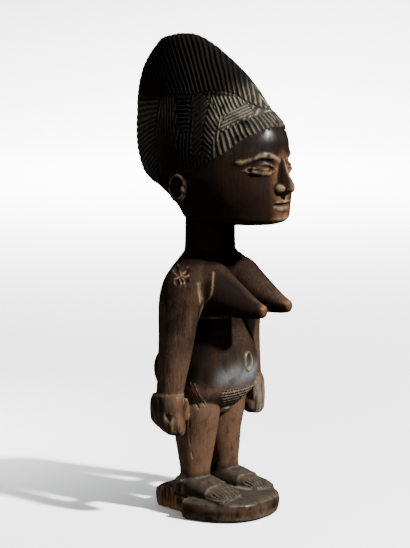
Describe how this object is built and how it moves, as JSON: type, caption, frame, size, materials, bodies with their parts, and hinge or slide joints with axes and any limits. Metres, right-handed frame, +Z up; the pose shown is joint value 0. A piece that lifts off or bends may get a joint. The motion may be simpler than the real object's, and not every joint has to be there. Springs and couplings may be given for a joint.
{
  "type": "female statuette",
  "caption": "Carved wooden female figure with a tall braided crest, arms at its sides, standing on an oval base of the same block.",
  "frame": {"origin": "on the flat underside of the base, on the axis of the body between the feet", "axes": "+Z up through the body, -Y where the figure looks, +X to its left side"},
  "size_m": [0.0906, 0.1064, 0.2672],
  "materials": {
    "dark_wood": "near-black to red-brown hardwood with a rubbed, oiled patina, worn orange-brown tips and pale dust in the cuts"
  },
  "bodies": {
    "root": {"figure": "dark_wood"}
  },
  "joints": []
}
